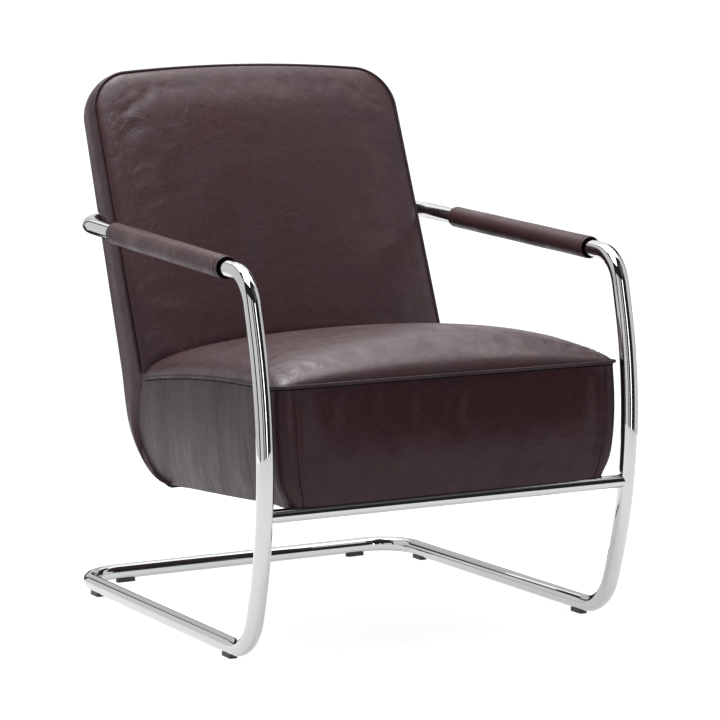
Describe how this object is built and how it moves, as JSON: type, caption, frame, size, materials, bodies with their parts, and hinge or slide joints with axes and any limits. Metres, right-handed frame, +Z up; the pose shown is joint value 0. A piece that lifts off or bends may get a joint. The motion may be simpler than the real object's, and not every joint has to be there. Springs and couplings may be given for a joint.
{
  "type": "cantilever lounge chair",
  "caption": "Cantilever lounge chair: bent chromed tube frame with padded arms that carries one crowned leather seat and back.",
  "frame": {"origin": "on the floor under the centre of the chair's outline, the floor being z = 0 at the glides' undersides", "axes": "+X to the sitter's left, which is the viewer's right seen from the front; -Y the way the chair faces; +Z up"},
  "size_m": [0.6376, 0.7648, 0.8495],
  "materials": {
    "chrome": "polished",
    "steel": "plain",
    "glide": "satin",
    "padding": "dark foam",
    "leather": "worn semi-gloss",
    "piping": "worn semi-gloss",
    "foam": "open-cell foam",
    "wood": "raw plywood and beech",
    "strap": "woven rubber",
    "lining": "black lining"
  },
  "bodies": {
    "root": {"frame_left": "chrome", "frame_right": "chrome", "floor_bar_plug": "steel", "back_bar_plug": "steel", "front_crossbar": "chrome", "crossbar_tab_left": "chrome", "crossbar_tab_right": "chrome", "glide_front_left": "glide", "glide_front_right": "glide", "glide_side_left": "glide", "glide_side_right": "glide", "glide_rear_left": "glide", "glide_rear_right": "glide", "arm_padding_left": "padding", "arm_padding_right": "padding", "arm_cover_left": "leather", "arm_cover_right": "leather", "side_board_left": "wood", "side_board_right": "wood", "front_rail": "wood", "rear_rail": "wood", "back_rail": "wood", "top_rail": "wood", "seat_straps": "strap", "back_straps": "strap", "seat_foam": "foam", "back_foam": "foam", "seat_cover": "leather", "back_cover": "leather", "seat_piping": "piping", "back_piping": "piping", "outer_back": "leather", "dust_cover": "lining", "seat_bolts": "steel", "back_bolts": "steel", "back_spacers": "glide"}
  },
  "joints": []
}
